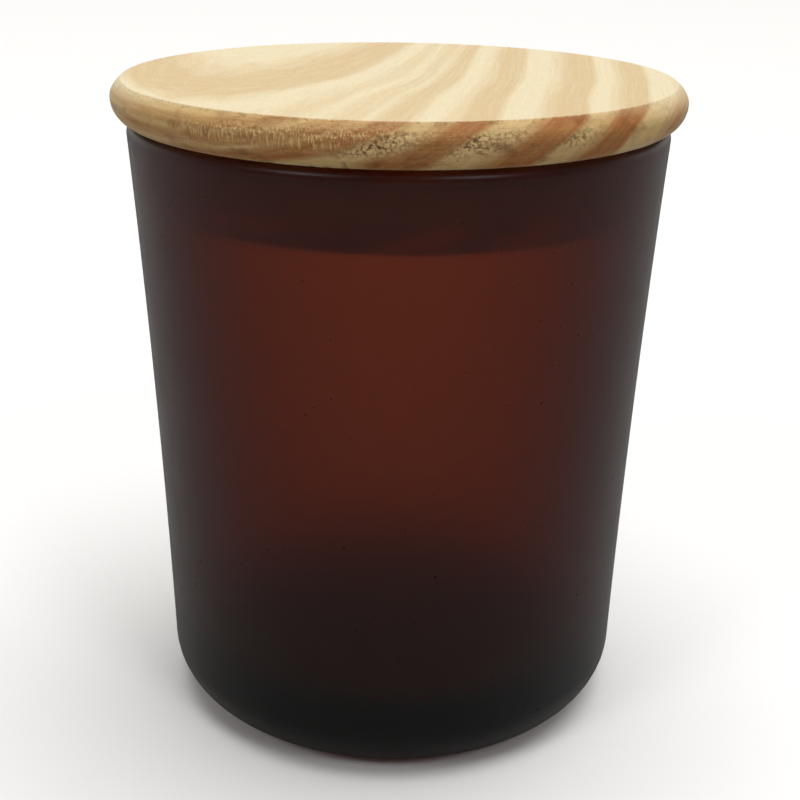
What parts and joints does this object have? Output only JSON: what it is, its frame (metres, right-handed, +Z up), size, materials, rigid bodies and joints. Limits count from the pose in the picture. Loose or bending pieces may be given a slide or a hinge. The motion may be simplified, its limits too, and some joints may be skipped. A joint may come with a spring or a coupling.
{
  "type": "candle jar with lid",
  "caption": "Empty tapered candle jar of frosted amber glass with a heavy base, closed by a turned wooden plug lid with a silicone seal.",
  "frame": {"origin": "middle of the foot ring that the jar stands on", "axes": "+Z up along the jar's axis, base to lid; the jar is round, so X and Y are free"},
  "size_m": [0.084, 0.084, 0.0979],
  "materials": {
    "frosted_amber_glass": "satin frosted outside, glossy inside",
    "bare_pine": "bare, finely turned, torn end grain round the edge",
    "clear_silicone": "translucent satin"
  },
  "bodies": {
    "jar": {"glass_jar": "frosted_amber_glass"},
    "seal": {"seal_ring": "clear_silicone"},
    "lid": {"wooden_lid": "bare_pine"}
  },
  "joints": [
    {"name": "lid_lift", "type": "slide", "parent": "jar", "child": "seal", "axis": [0, 0, 1], "range_m": [0, 0.06]},
    {"name": "lid_turn", "type": "hinge", "parent": "seal", "child": "lid", "pos_m": [0, 0, 0.09175], "axis": [0, 0, 1], "continuous": true}
  ]
}
